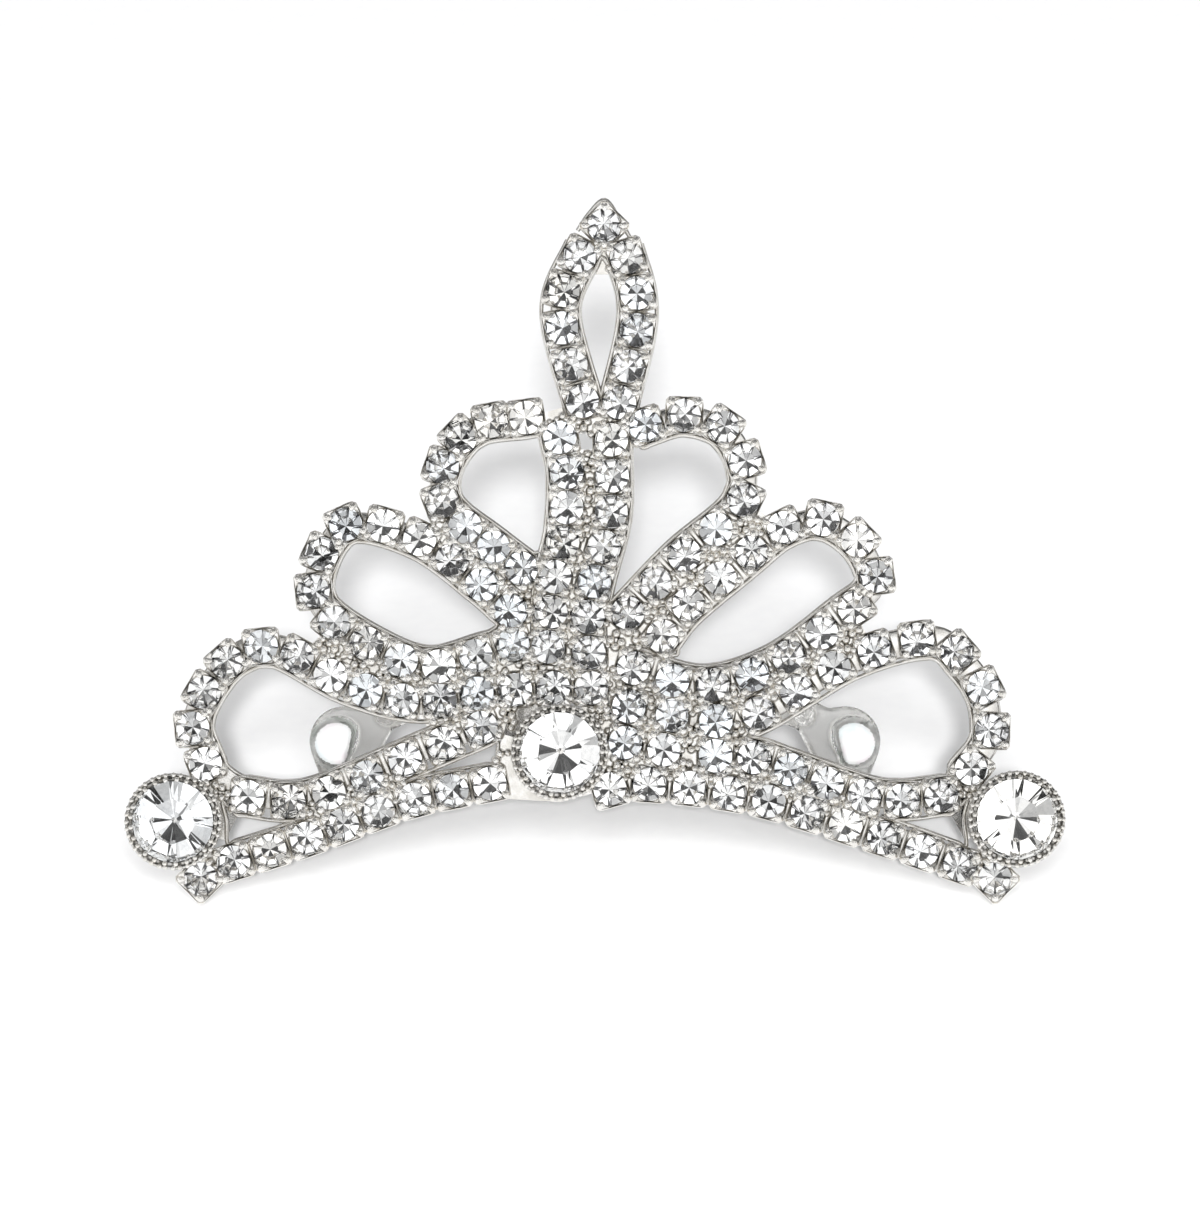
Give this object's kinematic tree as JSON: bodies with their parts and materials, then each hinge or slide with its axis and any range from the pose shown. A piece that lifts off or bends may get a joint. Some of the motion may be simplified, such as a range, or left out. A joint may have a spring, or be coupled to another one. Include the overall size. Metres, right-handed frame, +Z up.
{
  "type": "pageant crown",
  "caption": "Flat crown ornament of stone-set petal loops and a pointed spire, with larger stones at its middle and both ends, on a clear hair comb.",
  "frame": {"origin": "bottom centre of the bounding box, on the surface that the crown stands on", "axes": "+X to the right seen from the front, +Y from the front to the back (the way the comb's teeth point), +Z up"},
  "size_m": [0.0808, 0.034, 0.055],
  "materials": {
    "metal": "bright silver plating, a little warm",
    "clear_plastic": "clear and glossy",
    "crystal": "cut and foil-backed"
  },
  "bodies": {
    "root": {"crown_frame": "metal", "hair_comb": "clear_plastic", "left_stone": "crystal", "centre_stone": "crystal", "right_stone": "crystal", "spire_stones": "crystal", "column_stones": "crystal", "top_left_stones": "crystal", "top_right_stones": "crystal", "mid_left_stones": "crystal", "mid_right_stones": "crystal", "low_left_stones": "crystal", "low_right_stones": "crystal", "base_left_stones": "crystal", "base_right_stones": "crystal"}
  },
  "joints": []
}
